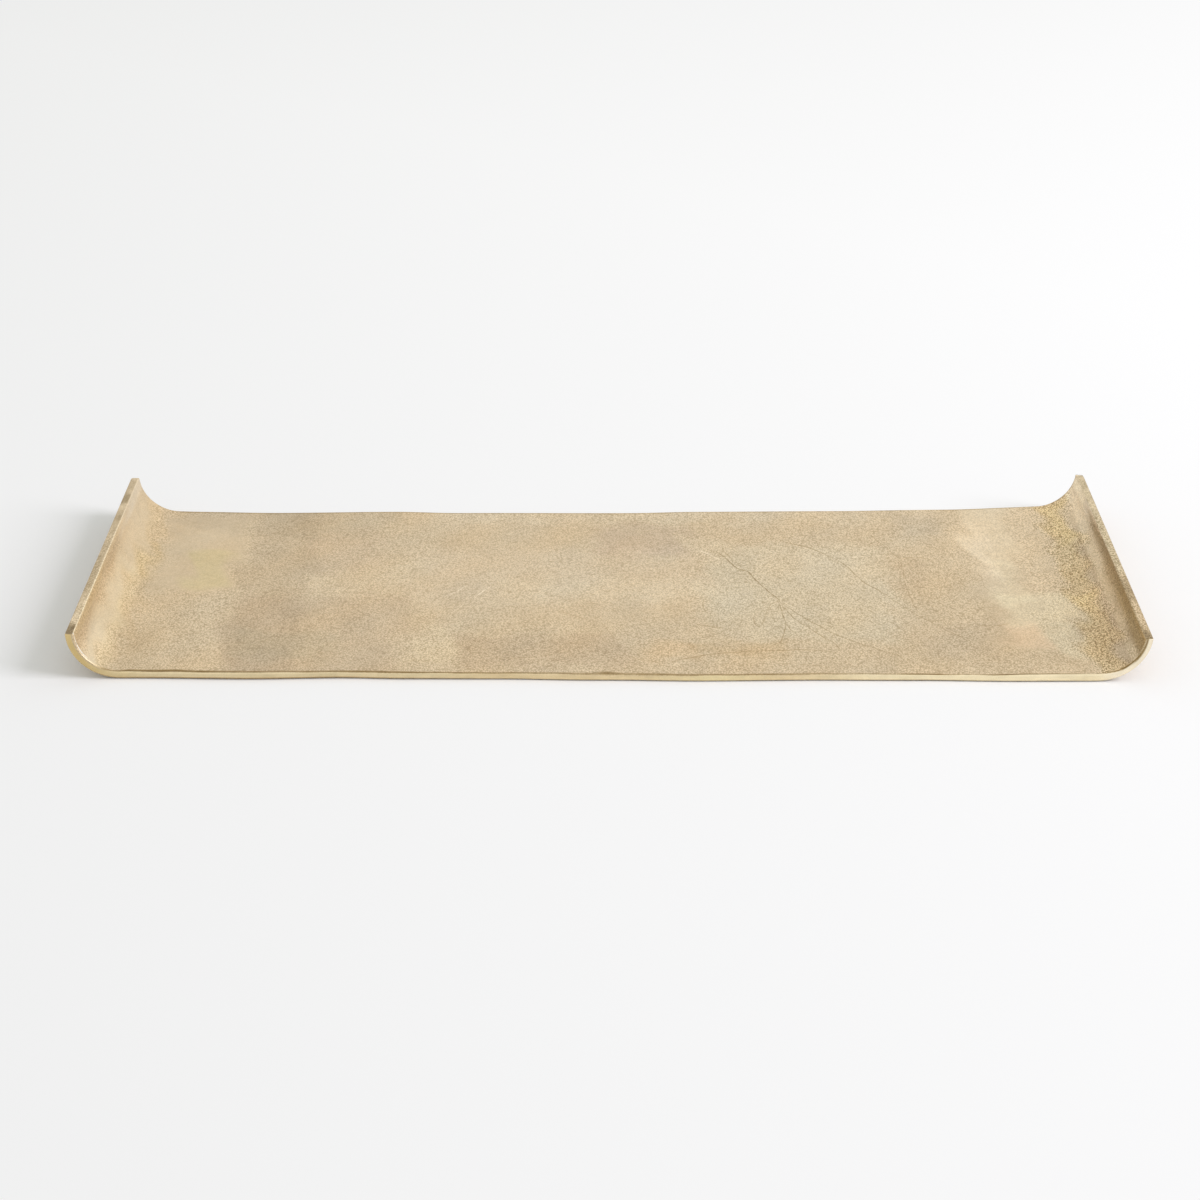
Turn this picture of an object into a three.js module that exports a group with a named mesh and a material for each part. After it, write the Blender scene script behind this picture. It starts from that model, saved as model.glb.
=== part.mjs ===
// Long, narrow serving tray: one sand-cast plate whose short ends sweep up into low walls,
// standing on four stick-on felt pads. Millimetres, +Z up, the pads rest on z = 0,
// +X runs along the tray and -Y is its front edge.
import * as THREE from 'three';

// Cast plate, with its nominal depth. Its swept-up ends are thicker than its floor.
const TRAY_LENGTH = 762;
const TRAY_DEPTH = 254;
const FLOOR_THICKNESS = 4.6;
const WALL_THICKNESS = 5.9;

// Where the plate thickens: from this far before each bend to this far round it
const THICKENING_BEFORE = 20;
const THICKENING_AFTER = 28;

// Swept-up ends: the inside radius of each bend at its wall, and the angle it turns through
const BEND_RADIUS = 29.1;
const BEND_ANGLE_DEG = 85;

// Straight lip above each bend, ground level by hand, so every corner ends at its own height
const LIP_FRONT_LEFT = 4.2;
const LIP_BACK_LEFT = 3.8;
const LIP_FRONT_RIGHT = 1.6;
const LIP_BACK_RIGHT = 1.1;

// Rounded arrises: along the ground front and back edges, and round each land
const UPPER_ARRIS = 0.9;
const LOWER_ARRIS = 1.5;
const LAND_ARRIS = 0.7;

// The front and back edges are trimmed by hand, slightly waisted and deeper at the right-hand end.
// Each pair is a place along the plate, developed from its middle, and how far the edge stands out
// there from the nominal depth.
const FRONT_TRIM = [
  [-400, -1], [-340, -1.4], [-250, 0.5], [-190, -0.7], [-140, 0.9], [-80, 1.4], [-5, 3.5], [68, 5.1],
  [142, 4.4], [216, 5.1], [290, 6.9], [333, 6.9], [400, 5.7],
];
const BACK_TRIM = [
  [-400, 2], [-340, 1], [-265, -1.7], [-172, -0.4], [-120, -3], [20, -4.1], [70, -2.3], [180, -1.8],
  [270, 0.1], [345, 4.5], [400, 5.7],
];

// Stick-on pads: a felt disc on a thinner disc of adhesive foam
const FELT_DIAMETER = 20;
const FELT_THICKNESS = 0.6;
const FELT_EASE = 0.2;
const ADHESIVE_THICKNESS = 0.2;
const ADHESIVE_MARGIN = 0.5;
const PAD_INSET_FROM_EDGE = 26;
const PAD_INSET_FROM_BEND = 24;

// How finely curves are stepped
const FLOOR_STATION_PITCH = 12;
const BEND_STEPS = 16;
const LIP_STEPS = 2;
const LAND_ARRIS_STEPS = 4;
const EDGE_ARRIS_STEPS = 5;
const PAD_SEGMENTS = 40;
const PAD_EASE_STEPS = 4;

// Worked out from the sizes above
const BEND_ANGLE = THREE.MathUtils.degToRad(BEND_ANGLE_DEG);
const OUTER_RADIUS = BEND_RADIUS + WALL_THICKNESS;
const MEAN_LIP = (LIP_FRONT_LEFT + LIP_BACK_LEFT + LIP_FRONT_RIGHT + LIP_BACK_RIGHT) / 4;
const END_RUN = OUTER_RADIUS * Math.sin(BEND_ANGLE) + MEAN_LIP * Math.cos(BEND_ANGLE);
const FLOOR_HALF = TRAY_LENGTH / 2 - END_RUN;
const PAD_HEIGHT = FELT_THICKNESS + ADHESIVE_THICKNESS;

const castBrass = new THREE.MeshStandardMaterial({ color: 0xcdb68c, roughness: 0.45, metalness: 0.9 });
const padFelt = new THREE.MeshStandardMaterial({ color: 0x3a332c, roughness: 0.98, metalness: 0 });
const padAdhesive = new THREE.MeshStandardMaterial({ color: 0xd8d4ca, roughness: 0.7, metalness: 0 });

// A station is a place along the plate's underside. Its foot, tangent and normal lie in the XZ
// plane, for the right-hand half: `run` is the developed length from the middle of the tray.
function floorStation(run) {
  return {
    run,
    foot: new THREE.Vector2(run, 0),
    tangent: new THREE.Vector2(1, 0),
    inset: 0,
    lipShare: 0,
    arrisRise: 0,
  };
}

function bendStation(angle) {
  return {
    run: FLOOR_HALF + OUTER_RADIUS * angle,
    foot: new THREE.Vector2(
      FLOOR_HALF + OUTER_RADIUS * Math.sin(angle),
      OUTER_RADIUS * (1 - Math.cos(angle)),
    ),
    tangent: new THREE.Vector2(Math.cos(angle), Math.sin(angle)),
    inset: 0,
    lipShare: 0,
    arrisRise: 0,
  };
}

// Up the lip by a share of its length, then round the land's arris by an angle
function lipStation(lipShare, arrisAngle) {
  return {
    ...bendStation(BEND_ANGLE),
    lipShare,
    inset: LAND_ARRIS * (1 - Math.cos(arrisAngle)),
    arrisRise: LAND_ARRIS * Math.sin(arrisAngle),
  };
}

// Stations from the middle of the tray out to the land of the right-hand end
function halfStations() {
  const stations = [];
  const floorSteps = Math.ceil(FLOOR_HALF / FLOOR_STATION_PITCH);
  for (let i = 0; i <= floorSteps; i += 1) {
    stations.push(floorStation((FLOOR_HALF * i) / floorSteps));
  }
  for (let i = 1; i <= BEND_STEPS; i += 1) {
    stations.push(bendStation((BEND_ANGLE * i) / BEND_STEPS));
  }
  for (let i = 1; i <= LIP_STEPS; i += 1) {
    stations.push(lipStation(i / LIP_STEPS, 0));
  }
  for (let i = 1; i <= LAND_ARRIS_STEPS; i += 1) {
    stations.push(lipStation(1, ((Math.PI / 2) * i) / LAND_ARRIS_STEPS));
  }
  return stations;
}

// Thickness of the plate at a developed length from the middle
function thicknessAt(run) {
  const thickened = THREE.MathUtils.smoothstep(
    run,
    FLOOR_HALF - THICKENING_BEFORE,
    FLOOR_HALF + THICKENING_AFTER,
  );
  return THREE.MathUtils.lerp(FLOOR_THICKNESS, WALL_THICKNESS, thickened);
}

// Section of the plate: a rounded slab, as points that each hang on the front or back edge.
// `across` is the distance in from that edge and `height` the distance up from the underside.
function sectionPoints(inset, thickness) {
  const points = [];
  const corner = (side, radius, upper) => {
    const arris = radius - inset;
    for (let i = 0; i <= EDGE_ARRIS_STEPS; i += 1) {
      const angle = ((Math.PI / 2) * i) / EDGE_ARRIS_STEPS;
      const turn = upper === (side > 0) ? angle : Math.PI / 2 - angle;
      const fromFace = radius - arris * Math.sin(turn);
      const fromEdge = radius - arris * Math.cos(turn);
      points.push({
        side,
        across: fromEdge,
        height: upper ? thickness - fromFace : fromFace,
      });
    }
  };
  corner(-1, LOWER_ARRIS, false);
  corner(1, LOWER_ARRIS, false);
  corner(1, UPPER_ARRIS, true);
  corner(-1, UPPER_ARRIS, true);
  return points;
}

// How far the front (side -1) or back (side +1) edge stands out at a signed run, eased from one
// trimmed place to the next
function trim(run, side) {
  const places = side < 0 ? FRONT_TRIM : BACK_TRIM;
  const [lastRun, lastOut] = places[places.length - 1];
  if (run >= lastRun) {
    return lastOut;
  }
  const next = Math.max(1, places.findIndex(([place]) => place > run));
  const [fromRun, fromOut] = places[next - 1];
  const [toRun, toOut] = places[next];
  return THREE.MathUtils.lerp(fromOut, toOut, THREE.MathUtils.smoothstep(run, fromRun, toRun));
}

// Length of the lip at a depth, straight from its front corner to its back corner
function lipLength(end, y) {
  const back = y / TRAY_DEPTH + 0.5;
  return end > 0
    ? THREE.MathUtils.lerp(LIP_FRONT_RIGHT, LIP_BACK_RIGHT, back)
    : THREE.MathUtils.lerp(LIP_FRONT_LEFT, LIP_BACK_LEFT, back);
}

// One ring of the loft: the section set on a station of the left (-1) or right (+1) half.
// The lip is sheared so that its land is level although the wall leans out.
function ringAt(station, end) {
  const { foot, tangent, lipShare, arrisRise, inset, run } = station;
  return sectionPoints(inset, thicknessAt(run)).map(({ side, across, height }) => {
    const y = side * (TRAY_DEPTH / 2 + trim(end * run, side) - across);
    const straight = (lipLength(end, y) - LAND_ARRIS) * lipShare;
    const level = (height * lipShare) / Math.tan(BEND_ANGLE);
    const along = straight + arrisRise - level;
    const x = foot.x + tangent.x * along - tangent.y * height;
    const z = foot.y + tangent.y * along + tangent.x * height;
    return new THREE.Vector3(end * x, y, z);
  });
}

// Closed skin through rings of equal length, with a flat face on each end ring
function loft(rings, capPoints) {
  const count = rings[0].length;
  const index = [];
  for (let ring = 0; ring < rings.length - 1; ring += 1) {
    for (let i = 0; i < count; i += 1) {
      const a = ring * count + i;
      const b = ring * count + ((i + 1) % count);
      index.push(a, b, a + count, b, b + count, a + count);
    }
  }
  const last = (rings.length - 1) * count;
  THREE.ShapeUtils.triangulateShape(capPoints, []).forEach(([a, b, c]) => {
    index.push(a, c, b);
    index.push(last + a, last + b, last + c);
  });
  const geometry = new THREE.BufferGeometry().setFromPoints(rings.flat());
  geometry.setIndex(index);
  geometry.computeVertexNormals();
  return geometry;
}

function castingGeometry() {
  const half = halfStations();
  const left = half.slice(1).reverse().map((station) => ringAt(station, -1));
  const right = half.map((station) => ringAt(station, 1));
  const capPoints = sectionPoints(LAND_ARRIS, WALL_THICKNESS).map(
    ({ side, across, height }) => new THREE.Vector2(side * (TRAY_DEPTH / 2 - across), height),
  );
  return loft([...left, ...right], capPoints);
}

// Felt disc with its lower rim eased, standing on z = 0
function feltGeometry() {
  const radius = FELT_DIAMETER / 2;
  const profile = [new THREE.Vector2(0, 0)];
  for (let i = 0; i <= PAD_EASE_STEPS; i += 1) {
    const angle = ((Math.PI / 2) * i) / PAD_EASE_STEPS;
    profile.push(new THREE.Vector2(
      radius - FELT_EASE * (1 - Math.sin(angle)),
      FELT_EASE * (1 - Math.cos(angle)),
    ));
  }
  profile.push(new THREE.Vector2(radius, FELT_THICKNESS));
  profile.push(new THREE.Vector2(0, FELT_THICKNESS));
  return upright(new THREE.LatheGeometry(profile, PAD_SEGMENTS));
}

function adhesiveGeometry() {
  const radius = FELT_DIAMETER / 2 - ADHESIVE_MARGIN;
  const disc = new THREE.CylinderGeometry(radius, radius, ADHESIVE_THICKNESS, PAD_SEGMENTS);
  return upright(disc.translate(0, ADHESIVE_THICKNESS / 2, 0));
}

// Turned shapes are made about Y and stood up on Z
function upright(geometry) {
  return geometry.rotateX(Math.PI / 2);
}

function named(name, geometry, material) {
  const mesh = new THREE.Mesh(geometry, material);
  mesh.name = name;
  return mesh;
}

// One pad under a corner of the flat floor
function pad(corner, x, y) {
  const group = new THREE.Group();
  const felt = named(`felt_pad_${corner}`, feltGeometry(), padFelt);
  const adhesive = named(`adhesive_${corner}`, adhesiveGeometry(), padAdhesive);
  adhesive.position.z = FELT_THICKNESS;
  group.add(felt, adhesive);
  group.position.set(x, y, 0);
  return group;
}

const tray = new THREE.Group();
tray.name = 'tray';

const casting = named('tray_casting', castingGeometry(), castBrass);
casting.position.z = PAD_HEIGHT;
tray.add(casting);

const padX = FLOOR_HALF - PAD_INSET_FROM_BEND;
const padY = TRAY_DEPTH / 2 - PAD_INSET_FROM_EDGE;
[['front', -1], ['back', 1]].forEach(([row, sideY]) => {
  [['left', -1], ['right', 1]].forEach(([column, sideX]) => {
    tray.add(pad(`${row}_${column}`, sideX * padX, sideY * padY));
  });
});

export default tray;
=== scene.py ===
import math

import bpy
import numpy as np
from mathutils import Matrix, Vector


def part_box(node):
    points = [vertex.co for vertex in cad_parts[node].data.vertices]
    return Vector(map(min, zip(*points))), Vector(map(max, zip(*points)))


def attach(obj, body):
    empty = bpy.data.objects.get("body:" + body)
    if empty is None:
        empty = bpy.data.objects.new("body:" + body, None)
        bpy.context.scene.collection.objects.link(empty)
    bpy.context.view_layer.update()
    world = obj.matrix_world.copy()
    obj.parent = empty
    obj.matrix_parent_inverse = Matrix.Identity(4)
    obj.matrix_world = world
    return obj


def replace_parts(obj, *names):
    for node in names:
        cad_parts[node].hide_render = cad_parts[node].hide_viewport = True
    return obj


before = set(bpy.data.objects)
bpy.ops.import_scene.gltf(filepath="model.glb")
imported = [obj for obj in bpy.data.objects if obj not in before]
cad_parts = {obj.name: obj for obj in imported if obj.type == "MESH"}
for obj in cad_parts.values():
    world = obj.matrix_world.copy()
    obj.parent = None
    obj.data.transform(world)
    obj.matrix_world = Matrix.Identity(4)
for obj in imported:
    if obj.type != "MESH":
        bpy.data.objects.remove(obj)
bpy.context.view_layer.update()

# The part's sizes
MM = 0.001


def mm(*values):
    return np.array(values) * MM


TRAY_LENGTH = 762 * MM
TRAY_DEPTH = 254 * MM
FLOOR_PLATE = 4.6 * MM
WALL_PLATE = 5.9 * MM
THICKENING_BEFORE = 20 * MM
THICKENING_AFTER = 28 * MM
BEND_RADIUS = 29.1 * MM
BEND_ANGLE = math.radians(85)
LIP_LEFT = mm(4.2, 3.8)
LIP_RIGHT = mm(1.6, 1.1)
UPPER_ARRIS = 0.9 * MM
LOWER_ARRIS = 0.8 * MM
LAND_ARRIS = 0.7 * MM
# The hand-trimmed edges: places along the developed plate, and how far the edge stands out there
FRONT_TRIM = np.array([
    (-400, -1), (-340, -1.4), (-250, 0.5), (-190, -0.7), (-140, 0.9), (-80, 1.4), (-5, 3.5), (68, 5.1),
    (142, 4.4), (216, 5.1), (290, 6.9), (333, 6.9), (400, 5.7),
]) * MM
BACK_TRIM = np.array([
    (-400, 2), (-340, 1), (-265, -1.7), (-172, -0.4), (-120, -3), (20, -4.1), (70, -2.3), (180, -1.8),
    (270, 0.1), (345, 4.5), (400, 5.7),
]) * MM

OUTER_RADIUS = BEND_RADIUS + WALL_PLATE
MEAN_LIP = (sum(LIP_LEFT) + sum(LIP_RIGHT)) / 4
END_RUN = OUTER_RADIUS * math.sin(BEND_ANGLE) + MEAN_LIP * math.cos(BEND_ANGLE)
FLOOR_HALF = TRAY_LENGTH / 2 - END_RUN
BEND_END = FLOOR_HALF + OUTER_RADIUS * BEND_ANGLE
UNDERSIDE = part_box("tray_casting")[0].z

# How finely the casting is meshed
FLOOR_STEP = 2.0 * MM
BEND_STEPS = 44
LIP_STEPS = 4
LAND_STEPS = 5
ARRIS_STEPS = 6
TOP_STEPS = 108
UNDERSIDE_STEPS = 36
FACE_POINTS = 3
# The closer points beside an arris, and how far beyond them the even ones start
EDGE_POINTS = mm(0.25, 0.6, 1.0, 1.5, 2.1, 2.9, 4.0)
EDGE_MARGIN = 1.4 * MM
LAND_CROWN = 0.12 * MM
LAND_SHARES = (0.25, 0.5, 0.75, 0.97)
# The lands' back corners are filed down a little
CORNER_DROP = 1.2 * MM
CORNER_LENGTH = 4.5 * MM

# Unevenness of the cast skin: soft swells, smaller ripples, and the hand-ground lower edge
SWELL = 0.16 * MM
SWELL_LENGTHS = mm(150, 118, 92, 81, 70, 64, 52, 45)
RIPPLE = 0.05 * MM
RIPPLE_LENGTHS = mm(30, 26, 22, 19, 17, 14, 12, 11)
EDGE_GRIND = 0.15 * MM
EDGE_GRIND_LENGTHS = mm(210, 140, 96, 61, 40)
EDGE_GRIND_DEPTH = 7 * MM
EDGE_GRIND_HEIGHT = FLOOR_PLATE * 0.5
# Where the swells fade out: in from the edges, and towards the ends of the bends
SWELL_FROM_EDGE = mm(1, 6)
SWELL_FROM_BEND_END = 12 * MM
UPPER_SIDE_DEPTH = 1 * MM


def uneven(run, across, lengths, seed):
    """A smooth random field of about unit size: cosines of the given wavelengths, in seeded directions."""
    rng = np.random.default_rng(seed)
    total = np.zeros(np.broadcast(run, across).shape)
    for length in lengths:
        heading, phase = rng.uniform(0, 2 * math.pi, 2)
        along = run * math.cos(heading) + across * math.sin(heading)
        total += np.cos(2 * math.pi * along / length + phase)
    return total / math.sqrt(len(lengths))


def smooth(low, high, x):
    t = np.clip((x - low) / (high - low), 0, 1)
    return t * t * (3 - 2 * t)


def between(x, low, high, soft):
    """1 inside a range and 0 outside, with soft ends."""
    return smooth(low - soft, low + soft, x) * (1 - smooth(high - soft, high + soft, x))


# Shape of the casting

def thickness(run):
    """The plate thickens from its floor into its swept-up ends."""
    thickened = smooth(FLOOR_HALF - THICKENING_BEFORE, FLOOR_HALF + THICKENING_AFTER, run)
    return FLOOR_PLATE + (WALL_PLATE - FLOOR_PLATE) * thickened


def half_stations():
    """Stations from the middle of the tray to one land: run, bend angle, lip share, inset and rise."""
    floor_steps = math.ceil(FLOOR_HALF / FLOOR_STEP)
    rows = [(FLOOR_HALF * i / floor_steps, 0, 0, 0, 0) for i in range(floor_steps + 1)]
    for i in range(1, BEND_STEPS + 1):
        angle = BEND_ANGLE * i / BEND_STEPS
        rows.append((FLOOR_HALF + OUTER_RADIUS * angle, angle, 0, 0, 0))
    rows += [(BEND_END, BEND_ANGLE, i / LIP_STEPS, 0, 0) for i in range(1, LIP_STEPS + 1)]
    arris_rise = LAND_ARRIS - LAND_CROWN
    for i in range(1, LAND_STEPS + 1):
        turn = math.pi / 2 * i / LAND_STEPS
        inset = LAND_ARRIS * (1 - math.cos(turn))
        rows.append((BEND_END, BEND_ANGLE, 1, inset, arris_rise * math.sin(turn)))
    for share in LAND_SHARES:
        inset = LAND_ARRIS + share * (WALL_PLATE / 2 - LAND_ARRIS)
        rise = arris_rise + LAND_CROWN * math.sin(share * math.pi / 2)
        rows.append((BEND_END, BEND_ANGLE, 1, inset, rise))
    return rows


def section(inset, plate):
    """The plate's section as a closed chain: share of the depth, offset from there, and height."""
    chain = []

    def arris(share, radius, upper):
        sign = 1 if share == 0 else -1
        radius, round_off = max(radius, inset), max(radius - inset, 0)
        for i in range(ARRIS_STEPS + 1):
            turn = math.pi / 2 * i / ARRIS_STEPS
            if upper != (share == 1):
                turn = math.pi / 2 - turn
            from_face = radius - round_off * math.sin(turn)
            from_edge = radius - round_off * math.cos(turn)
            height = plate - from_face if upper else from_face
            chain.append((share, sign * from_edge, height))

    def face(share, upwards):
        low, high = max(LOWER_ARRIS, inset), plate - max(UPPER_ARRIS, inset)
        sign = 1 if share == 0 else -1
        for i in range(1, FACE_POINTS + 1):
            part = i / (FACE_POINTS + 1) if upwards else 1 - i / (FACE_POINTS + 1)
            chain.append((share, sign * inset, low + (high - low) * part))

    def broad(steps, radius, height, forwards):
        near = max(radius, inset) + EDGE_POINTS
        margin = (near[-1] + EDGE_MARGIN) / TRAY_DEPTH
        row = [(0, offset, height) for offset in near]
        row += [(margin + (1 - 2 * margin) * i / steps, 0, height) for i in range(steps + 1)]
        row += [(1, -offset, height) for offset in near[::-1]]
        chain.extend(row if forwards else row[::-1])

    arris(0, LOWER_ARRIS, False)
    broad(UNDERSIDE_STEPS, LOWER_ARRIS, inset, True)
    arris(1, LOWER_ARRIS, False)
    face(1, True)
    arris(1, UPPER_ARRIS, True)
    broad(TOP_STEPS, UPPER_ARRIS, plate - inset, False)
    arris(0, UPPER_ARRIS, True)
    face(0, False)
    return np.array(chain)


def trim(run, side):
    """How far the front (side -1) or back (side 1) edge stands out, eased between the trimmed places."""
    places, out = (FRONT_TRIM if side < 0 else BACK_TRIM).T
    i = np.clip(np.searchsorted(places, run, side="right") - 1, 0, len(places) - 2)
    t = np.clip((run - places[i]) / (places[i + 1] - places[i]), 0, 1)
    return out[i] + (out[i + 1] - out[i]) * t * t * (3 - 2 * t)


class Grid:
    """The casting's rings from the left land to the right one, and where each point is on the plate.

    `reach` is the length along the upper side from the tray's middle, `below` the length down the
    inner wall from the land, and `edge` the distance in from the trimmed front or back edge. `height`
    and `depth` are the distances up from the plate's underside and down from its upper side, `turn` is
    how far the plate is bent up there, and `land` goes from 0 to 1 over the land's arrises. `upper` is
    1 on the upper side and 0 elsewhere.
    """

    def __init__(self):
        half = half_stations()
        stations = [(-1, *row) for row in half[:0:-1]] + [(1, *row) for row in half]
        rows = [self.ring(*station) for station in stations]
        (
            self.x, self.y, self.z, self.reach, self.below,
            self.edge, self.height, self.depth, self.turn, self.land,
        ) = (np.array(values) for values in zip(*rows))
        self.upper = 1 - smooth(0, UPPER_SIDE_DEPTH, self.depth)

    def ring(self, end, run, angle, lip_share, inset, rise):
        plate = thickness(run)
        share, offset, height = section(inset, plate).T
        front = -(TRAY_DEPTH / 2 + trim(end * run, -1))
        back = TRAY_DEPTH / 2 + trim(end * run, 1)
        y = front + (back - front) * share + offset
        lip_front, lip_back = LIP_LEFT if end < 0 else LIP_RIGHT
        lip = lip_front + (lip_back - lip_front) * (y / TRAY_DEPTH + 0.5)
        level = height * lip_share / math.tan(BEND_ANGLE)
        edge = np.minimum(y - front, back - y)
        filed = CORNER_DROP * (1 - smooth(0, CORNER_LENGTH, edge)) * (y > 0) * lip_share
        along = (lip - LAND_ARRIS) * lip_share + rise - level - filed
        foot_x = min(run, FLOOR_HALF) + OUTER_RADIUS * math.sin(angle)
        foot_z = OUTER_RADIUS * (1 - math.cos(angle))
        x = end * (foot_x + math.cos(angle) * along - math.sin(angle) * height)
        z = UNDERSIDE + foot_z + math.sin(angle) * along + math.cos(angle) * height
        reach = min(run, FLOOR_HALF) + BEND_RADIUS * angle + along
        below = FLOOR_HALF + BEND_RADIUS * BEND_ANGLE + lip - WALL_PLATE / math.tan(BEND_ANGLE) - reach
        same = np.ones(len(y))
        turn, land = same * end * angle, same * rise / LAND_ARRIS
        return x, y, z, end * reach, below, edge, height, plate - height, turn, land


def cast_lift(reach, y, edge):
    """How far the upper side swells above the plain plate."""
    swell = SWELL * uneven(reach, y, SWELL_LENGTHS, seed=3)
    ripple = RIPPLE * uneven(reach, y, RIPPLE_LENGTHS, seed=4)
    on_plate = smooth(0, SWELL_FROM_BEND_END, FLOOR_HALF + BEND_RADIUS * BEND_ANGLE - np.abs(reach))
    return (swell + ripple) * smooth(*SWELL_FROM_EDGE, edge) * on_plate


def rings(rows, count):
    """The numbers of the points of closed rings, and the quads between them."""
    index = np.arange(rows * count).reshape(rows, count)
    near, far = index[:-1], index[1:]
    quads = np.stack([near, np.roll(near, -1, 1), np.roll(far, -1, 1), far], -1)
    return index, quads.reshape(-1, 4).tolist()


def tube(rows, count, first):
    """The faces of a tube of rings and of both its ends, from the number of its first point."""
    index, quads = rings(rows, count)
    faces = [*quads, index[0, ::-1].tolist(), index[-1].tolist()]
    return [[first + k for k in face] for face in faces]


def casting_mesh():
    grid = Grid()
    grind = EDGE_GRIND * smooth(-1, 2, uneven(grid.reach, np.sign(grid.y), EDGE_GRIND_LENGTHS, seed=5))
    lower = (1 - smooth(0, EDGE_GRIND_HEIGHT, grid.height)) * (1 - smooth(0, EDGE_GRIND_DEPTH, grid.edge))
    lift = cast_lift(grid.reach, grid.y, grid.edge) * grid.upper + grind * lower
    grid.x = grid.x - np.sin(grid.turn) * lift
    grid.z = grid.z + np.cos(grid.turn) * lift
    index, faces = rings(*grid.x.shape)
    faces += closed_end(index[0], grid.y[0], False)
    faces += closed_end(index[-1], grid.y[-1], True)
    mesh = bpy.data.meshes.new("cast_tray")
    mesh.from_pydata(np.stack([grid.x, grid.y, grid.z], -1).reshape(-1, 3), [], faces)
    return mesh, grid


def closed_end(ring, y, right):
    """Triangles across the narrow slot that the last ring leaves, zipped from front to back."""
    underside = 2 * (ARRIS_STEPS + 1) + UNDERSIDE_STEPS + 1 + 2 * len(EDGE_POINTS)
    bottom, top = range(underside), range(underside, len(ring))[::-1]
    faces, i, j = [], 0, 0
    while i < len(bottom) - 1 or j < len(top) - 1:
        top_next = j < len(top) - 1 and y[top[j + 1]] < y[bottom[min(i + 1, len(bottom) - 1)]]
        if top_next or i == len(bottom) - 1:
            face = (ring[bottom[i]], ring[top[j + 1]], ring[top[j]])
            j += 1
        else:
            face = (ring[bottom[i]], ring[bottom[i + 1]], ring[top[j]])
            i += 1
        faces.append([int(k) for k in (face if right else face[::-1])])
    return faces


# Finish of the casting, painted on its points. Colours are written as they look, from 0 to 255.
FINISH = (213, 192, 157)
UNDER_FINISH = (196, 177, 146)
# painted shade: the dark brown of the ground edge's lower arris, which faces down away from the light
GROUND_LOW_SHADE = (170, 138, 92)
TARNISH = (132, 106, 58)
LAND_LEFT = (206, 186, 151)
LAND_RIGHT_FRONT = (203, 180, 142)
LAND_RIGHT_BACK = (212, 194, 158)
SPECK = (104, 84, 48)
# wear and painted highlight: the pale rim under the left land
RIM_WEAR_AND_HIGHLIGHT = (252, 235, 200)
# painted highlight: the near-white line round the left bend at the front
CURL_HIGHLIGHT = (255, 253, 244)

# Soft patches of the finish, in millimetres: where they lie along and across the tray, how soft their
# rims are, and how much redder, greener and bluer than the plain finish they look
PATCHES = [
    # left wall and bend
    ((-378, -362), (-140, 20), 5, (2, 4, 5)),
    ((-366, -350), (-140, 125), 4, (-2, -4, -7)),
    ((-360, -348), (10, 75), 5, (0, -2, -7)),
    ((-350, -325), (-140, -58), 8, (-7, -7, -7)),
    ((-350, -288), (92, 140), 8, (-8, -7, -5)),
    ((-322, -292), (0, 62), 7, (-2, 1, -6)),
    # brown field beside the smooth left strip, greener at the front
    ((-279, -226), (-140, 140), 6, (-9, -9, -8)),
    ((-279, -150), (-140, -16), 11, (-5, -6, -5)),
    ((-272, -196), (-108, -66), 10, (-6, -3, -2)),
    ((-272, -168), (84, 140), 10, (-8, -7, -6)),
    ((-232, -178), (24, 90), 12, (-3, -4, -3)),
    ((-164, -136), (18, 44), 8, (5, 5, 4)),
    ((-222, -155), (-12, 24), 12, (3, 3, 3)),
    # paler, cooler middle
    ((-138, -110), (-118, -56), 9, (6, 7, 6)),
    ((-145, 75), (-28, 60), 16, (3, 4, 6)),
    ((-90, 80), (-25, 12), 12, (4, 5, 5)),
    ((-8, 62), (48, 96), 12, (-7, -8, -5)),
    ((75, 214), (-84, 68), 14, (2, 6, 9)),
    ((120, 208), (14, 70), 12, (4, 3, 2)),
    ((-140, 205), (104, 140), 10, (5, 7, 9)),
    # darker places towards the right
    ((222, 240), (-2, 40), 10, (-5, -6, -6)),
    ((228, 292), (-112, -56), 12, (-7, -7, -6)),
    ((228, 268), (84, 116), 8, (-4, -3, -1)),
    ((202, 264), (102, 140), 7, (5, 5, 5)),
    ((258, 282), (24, 86), 7, (5, 5, 5)),
    ((202, 250), (42, 64), 8, (5, 5, 5)),
    # cream band before the right bend
    ((280, 316), (26, 140), 7, (14, 16, 17)),
    ((282, 300), (10, 100), 5, (6, 6, 7)),
    ((290, 312), (-34, 34), 7, (10, 12, 12)),
    ((296, 350), (-62, -16), 8, (9, 12, 12)),
    ((288, 318), (-96, -58), 7, (10, 7, 7)),
    ((318, 345), (-110, -60), 8, (5, 9, 10)),
    ((316, 347), (-12, 128), 7, (8, 8, 8)),
    # gold and brown right bend
    ((346, 366), (-140, 140), 4, (4, 1, -7)),
    ((352, 366), (60, 128), 6, (5, 4, -4)),
    ((352, 364), (-44, -20), 6, (9, 8, 2)),
    ((340, 350), (-84, -44), 5, (-12, -12, -10)),
    ((352, 376), (-140, -46), 6, (-8, -10, -11)),
    ((360, 372), (-6, 56), 5, (-6, -7, -9)),
    ((322, 339), (58, 132), 6, (5, 5, 5)),
    ((321, 338), (-50, -14), 6, (7, 7, 6)),
    ((322, 340), (-140, -100), 6, (6, 6, 6)),
    ((354, 370), (84, 140), 5, (6, 6, 8)),
    # front
    ((-112, 18), (-120, -74), 10, (-8, -9, -8)),
    ((30, 68), (-112, -84), 8, (4, 0, -4)),
    ((62, 132), (-106, -86), 6, (-6, -8, -11)),
    ((78, 104), (-86, -56), 8, (-5, -5, -4)),
    ((196, 224), (-125, -80), 8, (-4, -4, -4)),
]

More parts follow.
